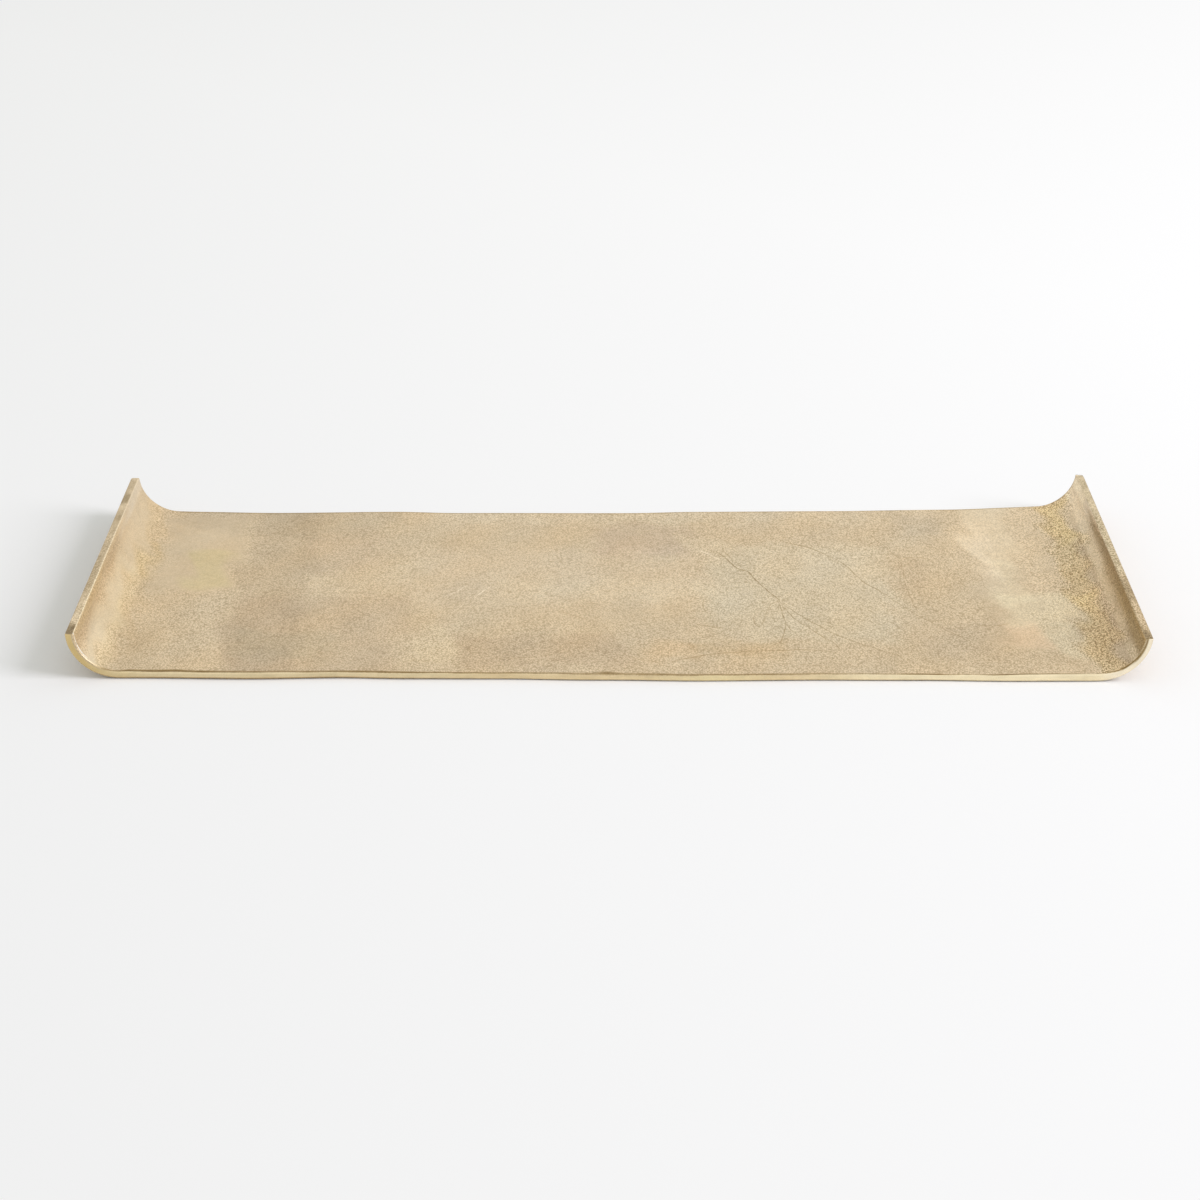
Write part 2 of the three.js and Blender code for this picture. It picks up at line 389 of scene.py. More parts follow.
# Where the grain is weaker (below 1) or coarser than on the plain floor, in the same terms, and its
# strength on the underside and the outer sides
COARSE_PATCHES = [
    ((-345, -284), (-6, 118), 9, 0.25),
    ((-280, -150), (-140, 140), 14, 0.9),
    ((-150, 60), (-60, 100), 20, 0.8),
    ((280, 318), (-100, 140), 7, 0.52),
    ((342, 372), (-140, 140), 5, 2.0),
    ((371, 420), (-140, 140), 3, 0.75),
    ((379, 420), (-140, 60), 3, 1.5),
    ((-420, -362), (-140, 140), 4, 0.3),
    ((-420, -378), (-140, 30), 4, 0.9),
]
UNDER_COARSE = 0.9

# The ground edge along the tray: its colour, paler towards the right as painted light, the dull line above
# it (how far in over the arris, how wide and how strong) and the painted shade of its lower arris as a dark
# line (how high and how strong)
# painted light: the ground faces grow paler towards the right, where they take more light
GROUND_LIT_ALONG = [
    (-372, 217, 192, 136), (-350, 217, 197, 152), (-325, 225, 207, 167), (-120, 225, 207, 167),
    (-80, 226, 205, 163), (20, 226, 205, 163), (75, 235, 218, 172), (125, 226, 205, 163),
    (200, 242, 227, 190), (345, 242, 227, 190), (356, 246, 233, 206),
]
TARNISH_LINE = [
    (-376, -0.8, 1.2, 0), (-368, -0.3, 1.2, 0.2), (-360, 0.1, 1.4, 0.45), (-352, 1, 1.6, 0.5),
    (-340, 2.4, 2.4, 0.9), (-320, 2.4, 2.6, 0.85), (-280, 2.3, 2.4, 0.85), (-240, 2.8, 2, 0.75),
    (-200, 1.5, 1.9, 0.8), (-160, 1.4, 2.4, 0.75), (-120, 1.2, 1.6, 0.75), (-80, 0.7, 1.5, 0.75),
    (-40, 1.4, 2, 0.55), (-12, 1.2, 2.4, 0.55), (-1, 2.2, 4.2, 0.8), (9, 1.2, 2.4, 0.55),
    (40, 1, 2.4, 0.6), (80, 1, 1.6, 0.55), (120, 1, 2, 0.6), (160, 1.4, 2, 0.4),
    (205, 1, 1.3, 0.3), (212, 0.9, 1.4, 1), (232, 0.9, 1.4, 0.95), (241, 1, 1.2, 0.3),
    (262, 1.3, 1.1, 0.25), (269, 1.4, 1.2, 0.7), (280, 1.7, 1.5, 1), (288, 1.9, 1.4, 0.8),
    (296, 2.5, 1.4, 0.7), (320, 2.8, 1.3, 0.65), (338, 2.8, 1.1, 0.3), (350, 1.8, 1.2, 0.3),
    (358, 0.2, 1.3, 0.6), (365, -0.7, 1.4, 1.1), (374, -1, 1.4, 1.15), (382, -1.2, 1.3, 1.1),
    (388, -1.5, 1.2, 0.95), (394, -1.8, 1.2, 0.6),
]
# Along the back edge the dull line keeps one place and is fainter
BACK_LINE = 1.3
BACK_LINE_SHARE = 0.45
LINE_WANDER = 0.2 * MM
# How the dull line's strength varies along it: the mean, how much it varies, and its limits
LINE_PATCHY = (0.95, 0.15, 0.3, 1.15)
LINE_STRONGEST = 1.3
# The line's full part and its rim, as shares of half its width, and where the ground face takes over
LINE_RIM = (0.45, 1.5)
GROUND_FROM_LINE = (0.9, 0.4)
# Past this place the left bend's line stays on the upper side
LINE_TURNS_IN = FLOOR_HALF + 6 * MM
# The height at which the ground face and the dull line start: the underside has neither
GROUND_START = 0.4 * MM
GROUND_BRUSH = 4
GROUND_BRUSH_STRETCH = 6
# Painted shade along the lower arris: places along, how high the dark line reaches and how strong it is
LOW_SHADE_LINE = [
    (-376, 1, 0.1), (-352, 1, 0.5), (-320, 1.1, 0.85), (-200, 1.1, 0.85), (-140, 0.9, 0.6),
    (-90, 0.7, 0.3), (-45, 0.6, 0), (110, 0.6, 0), (130, 0.8, 0.15), (220, 0.8, 0.25),
    (260, 0.6, 0.1), (290, 0.4, 0),
]
LOW_SHADE_LINE_RIM = mm(0.7, 0.5)
# The painted highlight round the left bend at the front, a bright line where its arris catches the light:
# places along, how far in from the edge and how strong; then its rim, and how far down from the upper side
# it reaches
HIGHLIGHT_CURL = [(-394, 2.1, 1), (-384, 2.1, 1), (-376, 1.9, 1), (-369, 1.9, 0.15), (-362, 2.4, 0)]
HIGHLIGHT_CURL_RIM = mm(0.4, 1.1)
HIGHLIGHT_CURL_DEPTH = 0.5 * MM
# The worn rim under the left land, paler from wear and from a painted highlight where its arris catches the
# light: where it ends down the wall and over the arris, its upper limit, where and by how much it fades
# towards the back, and where it starts at the corners
WORN_HIGHLIT_RIM_BELOW = mm(0.7, 1.6)
WORN_HIGHLIT_RIM_DEPTH = mm(0.5, 1.5)
WORN_HIGHLIT_RIM_TOP = -1.2 * MM
WORN_HIGHLIT_RIM_BACK = mm(25, 75)
WORN_HIGHLIT_RIM_BACK_FADE = 0.6
WORN_HIGHLIT_RIM_CORNER = mm(2, 5)
# Its strength, and where and by how much stronger its wear and painted highlight are at the front
WORN_HIGHLIT_RIM = 0.8
WORN_HIGHLIT_RIM_FRONT = mm(-100, -18, 8)
WORN_HIGHLIT_RIM_MORE = 0.2
WORN_HIGHLIT_RIM_SHINE = 0.7

# Bruises and casting pits on the lands: end (-1 left, 1 right), from where to where, and how strong
LAND_MARKS = [
    (-1, (50, 60), 0.4), (-1, (81, 97), 0.6), (-1, (-140, -112), 1), (-1, (-60, -20), 0.25),
    (1, (-140, -121), 0.7), (1, (-78, -45), 0.3),
]
LAND_MARK_SOFT = 2 * MM
PIT_SHARE = 0.4
PIT_LIMITS = (0.5, 1.4)
PIT_LENGTHS = mm(19, 11, 7, 5, 3.4, 2.6)
LAND_STAIN = 11
LAND_LENGTHS = mm(60, 37, 21, 12, 7)
# From the front tone of the right land to its back one
LAND_TONE_CHANGE = mm(-48, -25)
# The right wall's dark streak, painted shade, runs over the land's inner arris at the front: where it ends,
# how far down it starts, and how much darker than the land it is
LAND_SHADE_STREAK_END = mm(-38, -12)
LAND_SHADE_STREAK_DEPTH = mm(0.2, 1.6)
LAND_SHADE_STREAK_DARKER = 30
# Where the land's own finish starts over its arrises, and how much more grain it has
LAND_START = (0.55, 0.95)
LAND_GRAIN = 0.15
TARNISH_LENGTHS = mm(160, 90, 61, 34, 18, 11)
# How much grain the dull line takes away, and where the ground faces start to shine above the underside
TARNISH_SMOOTH = 0.7
SHINE_START = mm(0.5, 1.6)

# Streaks down the inner walls, the right one painted shade: places from front to back, the lengths below
# the land at which each starts, is full and ends, and how strong it is
RIGHT_SHADE_STREAK = [
    (-140, -0.8, 9, 17, 1), (-100, -0.5, 9, 17, 0.9), (-85, -0.4, 8, 16, 0.9), (-70, -0.4, 4, 17, 1),
    (-25, -0.3, 4.5, 17, 1), (-10, -0.1, 3, 17, 1), (5, 0.4, 4, 14, 1), (20, 0.8, 4.5, 12.5, 1),
    (35, 1.7, 4.5, 10.5, 0.98), (50, 2.5, 5, 9.6, 0.82), (65, 2.8, 4.8, 8.6, 0.72), (80, 3, 4.5, 8, 0.28),
    (90, 3.5, 4.5, 7, 0),
]
LEFT_STREAK = [
    (-140, 3, 6, 22, 0.8), (-80, 3, 8, 18, 1), (-55, 2.5, 7, 14, 1.3), (-40, 3, 8, 15, 0.7),
    (-20, 4.5, 9, 14, 0.8), (10, 5, 10, 14, 0.8), (25, 4.5, 9, 12, 0.7), (38, 3.5, 6, 9, 0.4),
    (50, 5, 7, 9, 0),
]
# Each end's streak, how sharply it starts, and how much redder, greener and bluer it looks
STREAKS = [
    # painted shade: the right wall's dark streak under its land
    (1, RIGHT_SHADE_STREAK, 0.6 * MM, (-38, -40, -43)),
    (-1, LEFT_STREAK, 1.4 * MM, (-6, -8, -9)),
]
# Strips of the inner walls, in millimetres: the end, from where to where below the land and how soft,
# between which places from front to back it starts and ends (None: it runs on), and how much redder,
# greener and bluer it looks
WALL_STRIPS = [
    # right: a smooth, paler strip under the painted shade streak, a thin line under that, and the pale back
    # end
    (1, (10.5, 19, 1), (-20, 5), None, (10, 11, 12)),
    (1, (20.3, 22.5, 0.7), None, (60, 88), (-6, -7, -7)),
    (1, (20.5, 28, 2), None, (60, 88), (-6, -6, -4)),
    (1, (-1, 8, 2), (44, 84), None, (17, 20, 26)),
    (1, (8, 20, 2), (60, 88), None, (10, 9, 8)),
    (1, (0, 8, 2), (82, 96), None, (8, 8, 3)),
    # right: a weaker start of the painted shade streak at the front, more golden there and greyer further
    # back
    (1, (-0.5, 3, 1), None, (-95, -80), (8, 7, 3)),
    (1, (-1, 11, 1.5), None, (-60, -30), (1, 0, -4)),
    (1, (-1, 11, 1.5), (-12, 12), (48, 72), (-1, 0, 3)),
    # left: the pale upper half of its back end, which carries the worn rim's wear and painted highlight on
    # to the back, and the paler foot of its front
    (-1, (-1, 10, 2), (30, 55), None, (8, 9, 11)),
    (-1, (11, 30, 3), None, (-90, -70), (7, 7, 7)),
    (-1, (28, 38, 3), None, (40, 60), (5, 5, 3)),
    (-1, (0, 9, 2), None, None, (-1, 2, 5)),
    (-1, (9, 34, 3), None, None, (3, 3, 2)),
    # left: paler above the streak, and a darker place beside it at the front
    (-1, (0.9, 4.5, 0.8), (2, 18), (52, 68), (9, 9, 8)),
    (-1, (0.6, 8, 1.2), None, (-40, -10), (6, 5, 0)),
    (-1, (11, 19, 2), (-114, -102), (-82, -70), (-7, -7, -6)),
]
# How far the walls' marks wander across and down
WALL_WANDER = mm(2, 0.5)

# The finish's mottling, its drift between warm and cool, and faint brushing along the tray
MOTTLE = 1.6
MOTTLE_LENGTHS = mm(85, 66, 52, 41, 33, 27)
HUE_DRIFT = np.array([1.3, 0, -1.5])
HUE_LENGTHS = mm(120, 88, 61, 47)
BRUSH = 1.3
BRUSH_STRETCH = 0.12
BRUSH_LENGTHS = mm(41, 29, 19, 13, 9)
# How far the patches' rims wander
WARP = 5 * MM
WARP_LENGTHS = mm(70, 44, 31, 22)


def linear(colour):
    """A colour as it looks, in 0 to 255, as the linear one that a shader takes."""
    share = np.clip(np.asarray(colour, float) / 255, 0, 1)
    return np.where(share <= 0.04045, share / 12.92, ((share + 0.055) / 1.055) ** 2.4)


def warped(reach, y):
    along = reach + WARP * uneven(reach, y, WARP_LENGTHS, seed=11)
    return along, y + WARP * uneven(reach, y, WARP_LENGTHS, seed=12)


def patch(along, across, where, depths, soft):
    return between(along, *mm(*where, soft)) * between(across, *mm(*depths, soft))


def patina(reach, y):
    """The antique finish of the upper side."""
    along, across = warped(reach, y)
    look = np.broadcast_to(np.array(FINISH, float), (*reach.shape, 3))
    for where, depths, soft, shift in PATCHES:
        look = shifted(look, shift, patch(along, across, where, depths, soft))
    mottle = MOTTLE * uneven(reach, y, MOTTLE_LENGTHS, seed=21)
    hue = uneven(reach, y, HUE_LENGTHS, seed=22)
    brushed = BRUSH * uneven(reach, y * BRUSH_STRETCH, BRUSH_LENGTHS, seed=23)
    return look + mottle[..., None] + hue[..., None] * HUE_DRIFT + brushed[..., None]


def coarseness(reach, y):
    along, across = warped(reach, y)
    coarse = np.ones(reach.shape)
    for where, depths, soft, level in COARSE_PATCHES:
        coarse += (level - coarse) * patch(along, across, where, depths, soft)
    return coarse


def towards(look, colour, share):
    return look + (np.array(colour, float) - look) * share[..., None]


def shifted(look, shift, share):
    return look + np.array(shift, float) * share[..., None]


def at_places(along, rows):
    """Values that change along a line, between the places that a list of rows gives in millimetres."""
    places, *columns = np.array(rows, float).T
    return [np.interp(along, places * MM, column) for column in columns]


def streak(below, y, rows, sharp):
    """A streak down an inner wall, full between its upper limit and the start of its fading foot."""
    upper, full, lower, strength = at_places(y, rows)
    started = smooth(upper * MM - sharp, upper * MM + sharp, below)
    return strength * started * (1 - smooth(full * MM, lower * MM, below))


def strip(below, y, depths, start, end):
    """A strip of an inner wall, between two lengths below the land and two places from front to back."""
    share = between(below, *mm(*depths))
    if start:
        share = share * smooth(*mm(*start), y)
    if end:
        share = share * (1 - smooth(*mm(*end), y))
    return share


def paint_walls(look, grid):
    """The streaks and strips of the two inner walls, under the rims of the swept-up ends; the right streak
    is painted shade, and a pale strip at the left's back end is wear and painted highlight.
    """
    across, down = WALL_WANDER
    y = grid.y + across * uneven(grid.reach, grid.y, WARP_LENGTHS, seed=13)
    below = grid.below + down * uneven(grid.reach, grid.y, WARP_LENGTHS, seed=14)
    side = np.sign(grid.reach)
    for end, rows, sharp, shift in STREAKS:
        look = shifted(look, shift, streak(below, y, rows, sharp) * (side == end))
    for end, depths, start, stop, shift in WALL_STRIPS:
        look = shifted(look, shift, strip(below, grid.y, depths, start, stop) * (side == end))
    return look


def paint_lands(look, grid, land):
    """The ground lands: duller than the walls, with a few casting pits and bruises."""
    left = grid.reach[..., None] < 0
    pitted = smooth(*PIT_LIMITS, uneven(grid.y, grid.height, PIT_LENGTHS, seed=41))
    stain = LAND_STAIN * uneven(grid.y, grid.height, LAND_LENGTHS, seed=42)[..., None]
    back = smooth(*LAND_TONE_CHANGE, grid.y)[..., None]
    right_tone = LAND_RIGHT_FRONT + (np.array(LAND_RIGHT_BACK) - LAND_RIGHT_FRONT) * back
    tone = np.where(left, LAND_LEFT, right_tone)
    look = towards(look, tone + stain, land)
    # painted shade: the right wall's dark streak carried over the land's inner arris
    over = (1 - smooth(*LAND_SHADE_STREAK_END, grid.y)) * (1 - smooth(*LAND_SHADE_STREAK_DEPTH, grid.depth))
    over = over * (grid.reach > 0) * land
    look = towards(look, np.array(LAND_RIGHT_FRONT) - LAND_SHADE_STREAK_DARKER, over)
    for end, where, strength in LAND_MARKS:
        here = between(grid.y, *mm(*where), LAND_MARK_SOFT) * (np.sign(grid.reach) == end)
        look = towards(look, SPECK, strength * here * (1 - PIT_SHARE + PIT_SHARE * pitted) * land)
    return look


def ground_face(grid):
    """The look of the ground front and back faces, paler to the right as painted light, with a painted
    shade line along their lower arris.
    """
    face = np.stack(at_places(grid.reach, GROUND_LIT_ALONG), -1)
    brushed = uneven(grid.reach, grid.height * GROUND_BRUSH_STRETCH, BRUSH_LENGTHS * 2, seed=43)
    face = face + GROUND_BRUSH * brushed[..., None]
    # painted shade: the dark line along the lower arris
    line, strength = at_places(grid.reach, LOW_SHADE_LINE)
    under, over = LOW_SHADE_LINE_RIM
    low = 1 - smooth(line * MM - under, line * MM + over, grid.height)
    return towards(face, GROUND_LOW_SHADE, strength * low)


def paint_ground(look, grid, land):
    """The ground front and back faces, and the dull lines that the finish leaves along their arrises.

    `way` is the length in from the face over the upper arris, below 0 on the face. Returns the look,
    and how much of it is ground and how much dull.
    """
    front = grid.y < 0
    way = grid.edge - grid.depth * (1 - land)
    shown = smooth(0, GROUND_START, grid.height)
    line, width, strength = at_places(grid.reach, TARNISH_LINE)
    line, width = np.where(front, line, BACK_LINE) * MM, width * MM
    wander = LINE_WANDER * uneven(grid.reach, np.sign(grid.y), TARNISH_LENGTHS, seed=32)
    outer, inner = (line - width * share for share in GROUND_FROM_LINE)
    ground = (1 - smooth(outer, inner, way - wander)) * shown * (1 - land)
    look = towards(look, ground_face(grid), ground)

    mean, varies, weakest, strongest = LINE_PATCHY
    patchy = mean + varies * uneven(grid.reach, np.sign(grid.y), TARNISH_LENGTHS, seed=31)
    off = np.abs(way - line - wander) / (width * 0.5)
    on_top = np.where(grid.reach > -LINE_TURNS_IN, 1, grid.upper)
    dull = strength * np.clip(patchy, weakest, strongest) * (1 - smooth(*LINE_RIM, off)) * on_top
    dull = dull * shown * (1 - land) * np.where(front, 1, BACK_LINE_SHARE)
    dull = np.clip(dull, 0, LINE_STRONGEST)
    return towards(look, TARNISH, dull), ground, dull


def worn_highlit_rim(grid):
    """The worn arris under the left land, paler from wear and from a painted highlight."""
    rim = (1 - smooth(*WORN_HIGHLIT_RIM_BELOW, grid.below)) * (1 - smooth(*WORN_HIGHLIT_RIM_DEPTH, grid.depth))
    rim = rim * (grid.below > WORN_HIGHLIT_RIM_TOP) * (1 - WORN_HIGHLIT_RIM_BACK_FADE * smooth(*WORN_HIGHLIT_RIM_BACK, grid.y))
    rim = rim * smooth(*WORN_HIGHLIT_RIM_CORNER, grid.edge)
    more = WORN_HIGHLIT_RIM_MORE * between(grid.y, *WORN_HIGHLIT_RIM_FRONT)
    return rim * (WORN_HIGHLIT_RIM + more) * (grid.reach < 0) * grid.upper


def highlight_curl(grid, land):
    """The painted highlight round the left bend at the front."""
    middle, strength = at_places(grid.reach, HIGHLIGHT_CURL)
    curl = 1 - smooth(*HIGHLIGHT_CURL_RIM, np.abs(grid.edge - middle * MM))
    here = (grid.y < 0) * (grid.depth < HIGHLIGHT_CURL_DEPTH) * (grid.reach < 0)
    return curl * strength * (1 - land) * here * grid.upper


def paint_casting(mesh, grid):
    """Stores the finish on the casting's points: colour, grain, and how far it is ground bright."""
    look = towards(patina(grid.reach, grid.y), UNDER_FINISH, 1 - grid.upper)
    look = towards(look, paint_walls(look, grid), grid.upper)
    land = smooth(*LAND_START, grid.land)
    look = paint_lands(look, grid, land)
    look, ground, dull = paint_ground(look, grid, land)
    # wear and painted highlight on the left land's rim, then the painted highlight round the left bend
    worn_highlit = worn_highlit_rim(grid)
    look = towards(towards(look, RIM_WEAR_AND_HIGHLIGHT, worn_highlit), CURL_HIGHLIGHT, highlight_curl(grid, land))

    coarse = UNDER_COARSE + (coarseness(grid.reach, grid.y) - UNDER_COARSE) * np.maximum(grid.upper, land)
    coarse = coarse * (1 - ground) * (1 - TARNISH_SMOOTH * np.minimum(dull, 1)) * (1 + LAND_GRAIN * land)
    store(mesh, "tint", linear(look))
    store(mesh, "coarse", coarse)
    store(mesh, "ground", np.maximum(ground * smooth(*SHINE_START, grid.height), WORN_HIGHLIT_RIM_SHINE * worn_highlit))


def store(mesh, name, values):
    flat = np.ascontiguousarray(values, dtype=np.float32)
    if flat.shape[-1:] == (3,):
        flat = np.concatenate([flat, np.ones((*flat.shape[:-1], 1), np.float32)], -1)
        mesh.attributes.new(name, "FLOAT_COLOR", "POINT").data.foreach_set("color", flat.ravel())
    else:
        mesh.attributes.new(name, "FLOAT", "POINT").data.foreach_set("value", flat.ravel())


def add_object(name, data):
    piece = bpy.data.objects.new(name, data)
    bpy.context.scene.collection.objects.link(piece)
    return piece


def keep(name, mesh, material):
    piece = add_object(name, mesh)
    mesh.materials.append(material)
    mesh.shade_smooth()
    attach(piece, "root")
    return piece


# Wrinkles of the cast skin, as fine raised veins: places along and across the tray in millimetres, how
# wide they are, and how dark (or, below 0, how light) they look against the finish
WRINKLES = [
    ([(83, 58), (90, 47), (98, 30), (107, 22), (112, 10), (117, -2), (126, -19), (129, -27)], 1, 1),
    ([(89, 57), (95, 45), (103, 28)], 0.7, 0.8),
    ([(71, 58), (80, 49), (88, 40)], 0.8, -0.6),
    ([(128, -24), (121, -30), (117, -44), (114, -57), (111, -64)], 0.7, 0.6),
    ([(107, -48), (108, -58), (111, -64)], 0.6, 0.6),
    ([(127, -22), (129, -44), (130, -58), (128, -72), (125, -84), (120, -89), (116, -93)], 0.8, 0.8),
    ([(130, -56), (133, -65), (137, -74), (140, -80), (140, -86)], 0.7, 0.6),
    ([(127, -22), (137, -50), (147, -64), (155, -77), (163, -86), (168, -99)], 0.8, 0.8),
    ([(129, -26), (143, -47), (157, -65), (167, -76), (179, -86), (200, -100), (212, -109)], 0.8, 0.7),
    ([(40, -114), (62, -106), (80, -101), (107, -98), (146, -97), (165, -102)], 0.9, 0.9),
    ([(118, -115), (135, -117), (154, -120)], 0.6, 0.5),
    ([(133, 76), (141, 70), (157, 61), (167, 51), (179, 38), (189, 16), (195, 3), (211, -19)], 0.9, 0.9),
    ([(211, -19), (222, -37), (237, -57), (247, -69), (265, -89)], 0.8, 0.6),
    ([(205, 92), (212, 71), (216, 63), (223, 46), (226, 26), (225, 5), (228, -33), (233, -46), (241, -52)],
     0.7, 0.6),
    ([(225, 41), (232, 44), (240, 44), (248, 41), (252, 31)], 0.6, 0.5),
    ([(231, 2), (236, -6), (239, -18), (247, -21), (252, -3)], 0.6, 0.5),
    ([(281, 21), (284, 10), (284, -2), (289, -12), (300, -21)], 0.6, 0.4),
    ([(267, -58), (274, -62), (280, -63), (288, -62), (295, -58)], 0.8, 0.6),
    ([(281, -48), (286, -56)], 0.6, 0.5),
    ([(200, -50), (208, -57), (213, -65), (219, -74)], 0.6, 0.5),
    ([(75, -15), (71, -26), (71, -34), (74, -44)], 0.7, 0.5),
    ([(65, -59), (73, -61), (82, -64)], 0.8, 0.9),
    ([(-48, -31), (-31, -42), (-15, -51), (-6, -57), (2, -72), (7, -93), (18, -107), (38, -114)],
     0.6, 0.35),
    ([(-88, 1), (-101, -18)], 0.8, -0.5),
    ([(-106, 2), (-119, -13)], 0.8, -0.5),
    ([(-108, -28), (-116, -41)], 0.7, -0.5),
    ([(-146, -111), (-120, -111)], 0.6, 0.5),
    ([(-80, -108), (-50, -105)], 0.6, 0.4),
]
WRINKLE_HALF_WIDTH = 0.5 * MM
WRINKLE_HEIGHT = 0.12 * MM
WRINKLE_STEP = 1.2 * MM
WRINKLE_WANDER = 0.35 * MM
WRINKLE_WANDER_LENGTHS = mm(23, 14, 9, 6)
WRINKLE_UNEVEN = 0.2
WRINKLE_UNEVEN_LENGTHS = mm(31, 17, 8)
# How fast a wrinkle swells from its tips, and how thin it is there
WRINKLE_SWELL, WRINKLE_TIP = 8, 0.03
WRINKLE_TONE = np.array([0.21, 0.25, 0.34])
WRINKLE_COARSE = 0.4
# Its section: across as a share of the half width, and up as a share of the height
WRINKLE_SECTION = [
    (1.3, -0.6), (0.8, 0.35), (0.35, 0.9), (-0.35, 0.9), (-0.8, 0.35), (-1.3, -0.6), (0, -1.6),
]


def curve_through(points, step):
    """Places along a smooth curve (Catmull-Rom) through the given ones."""
    points = np.array(points, float) * MM
    ends = [2 * points[0] - points[1], *points, 2 * points[-1] - points[-2]]
    places = []
    for before, start, stop, after in zip(ends, ends[1:], ends[2:], ends[3:]):
        steps = max(2, round(np.linalg.norm(stop - start) / step))
        for t in np.arange(steps) / steps:
            places.append(0.5 * (
                2 * start + (stop - before) * t
                + (2 * before - 5 * start + 4 * stop - after) * t * t
                + (3 * start - before - 3 * stop + after) * t ** 3
            ))
    return np.array([*places, points[-1]])


def wrinkle_mesh():
    """The wrinkles as closed strands that lie half sunk in the floor."""
    points, faces, looks = [], [], []
    across, up = np.array(WRINKLE_SECTION).T
    for number, (route, width, dark) in enumerate(WRINKLES):
        centre = curve_through(route, WRINKLE_STEP)
        ahead = np.gradient(centre, axis=0)
        ahead /= np.linalg.norm(ahead, axis=1, keepdims=True)
        side = np.stack([-ahead[:, 1], ahead[:, 0]], 1)
        along = np.arange(len(centre)) * WRINKLE_STEP
        wander = WRINKLE_WANDER * uneven(along, 0 * along, WRINKLE_WANDER_LENGTHS, seed=40 + number)
        centre = centre + side * wander[:, None]
        length = np.linspace(0, 1, len(centre))
        taper = np.sqrt(np.clip(np.minimum(length, 1 - length) * WRINKLE_SWELL, WRINKLE_TIP, 1))
        varies = WRINKLE_UNEVEN * uneven(along, 0 * along, WRINKLE_UNEVEN_LENGTHS, seed=80 + number)
        taper *= 1 - WRINKLE_UNEVEN + varies

        x, y = centre.T
        floor = UNDERSIDE + FLOOR_PLATE + cast_lift(x, y, TRAY_DEPTH / 2 - np.abs(y))
        out = np.outer(width * WRINKLE_HALF_WIDTH * taper, across)[..., None]
        height = floor[:, None] + np.outer(WRINKLE_HEIGHT * taper, up)
        strand = np.concatenate([centre[:, None] + side[:, None] * out, height[..., None]], -1)
        look = patina(x, y) * (1 - WRINKLE_TONE * (dark * (1 + taper) / 2)[:, None])
        faces += tube(*height.shape, len(points))
        points += strand.reshape(-1, 3).tolist()
        looks.append(np.repeat(look, len(across), 0))
    mesh = bpy.data.meshes.new("cast_wrinkles")
    mesh.from_pydata(points, [], faces)
    looks = np.concatenate(looks)
    store(mesh, "tint", linear(looks))
    store(mesh, "coarse", np.full(len(looks), WRINKLE_COARSE))
    store(mesh, "ground", np.zeros(len(looks)))
    return mesh


# Felt pads
FELT_RADIUS = 10 * MM
FELT_THICKNESS = 0.6 * MM
FELT_EASE = 0.2 * MM
# The part of the underside that is meshed in even rings, and how the rest of the profile is divided
FELT_FLAT_SHARE = 0.955
FELT_RINGS, FELT_EASE_STEPS, FELT_SIDE_STEPS, FELT_TOP_STEPS = 26, 6, 5, 6
FELT_SEGMENTS = 120
# How deep the nap is, how far out on the disc it starts, and where it ends below the adhesive
FELT_FUZZ = 0.07 * MM
FELT_FUZZ_FROM = 0.9 * FELT_RADIUS
FELT_FUZZ_TOP = (0.6 * FELT_THICKNESS, 0.95 * FELT_THICKNESS)
FIBRES = 520
FIBRE_HEIGHT = mm(0.06, 0.5)
FIBRE_LENGTH = mm(0.7, 1.7)
FIBRE_RADIUS = 0.028 * MM
FIBRE_TAPER = 0.8
# How far inside the rim fibres start, and the least height that they keep
FIBRE_ROOT = 0.15 * MM
FIBRE_CLEAR = 0.01 * MM
# How far fibres turn from straight out, bend and climb, in radians and as a share of their length
FIBRE_HEADING, FIBRE_BEND, FIBRE_CLIMB = 0.9, 0.9, 0.25
FIBRE_STEPS = 4
FIBRE_SIDES = 3


def felt_profile():
    """Radius and height of the disc, from the middle of its lower face to the middle of its upper one."""
    flat = FELT_RADIUS * FELT_FLAT_SHARE
    rows = [(flat * i / FELT_RINGS, 0) for i in range(1, FELT_RINGS + 1)]
    for i in range(1, FELT_EASE_STEPS + 1):
        turn = math.pi / 2 * i / FELT_EASE_STEPS
        rows.append((FELT_RADIUS - FELT_EASE * (1 - math.sin(turn)), FELT_EASE * (1 - math.cos(turn))))
    side = FELT_THICKNESS - FELT_EASE
    rows += [(FELT_RADIUS, FELT_EASE + side * i / FELT_SIDE_STEPS) for i in range(1, FELT_SIDE_STEPS + 1)]
    rows += [(FELT_RADIUS * (1 - i / FELT_TOP_STEPS), FELT_THICKNESS) for i in range(1, FELT_TOP_STEPS)]
    return rows


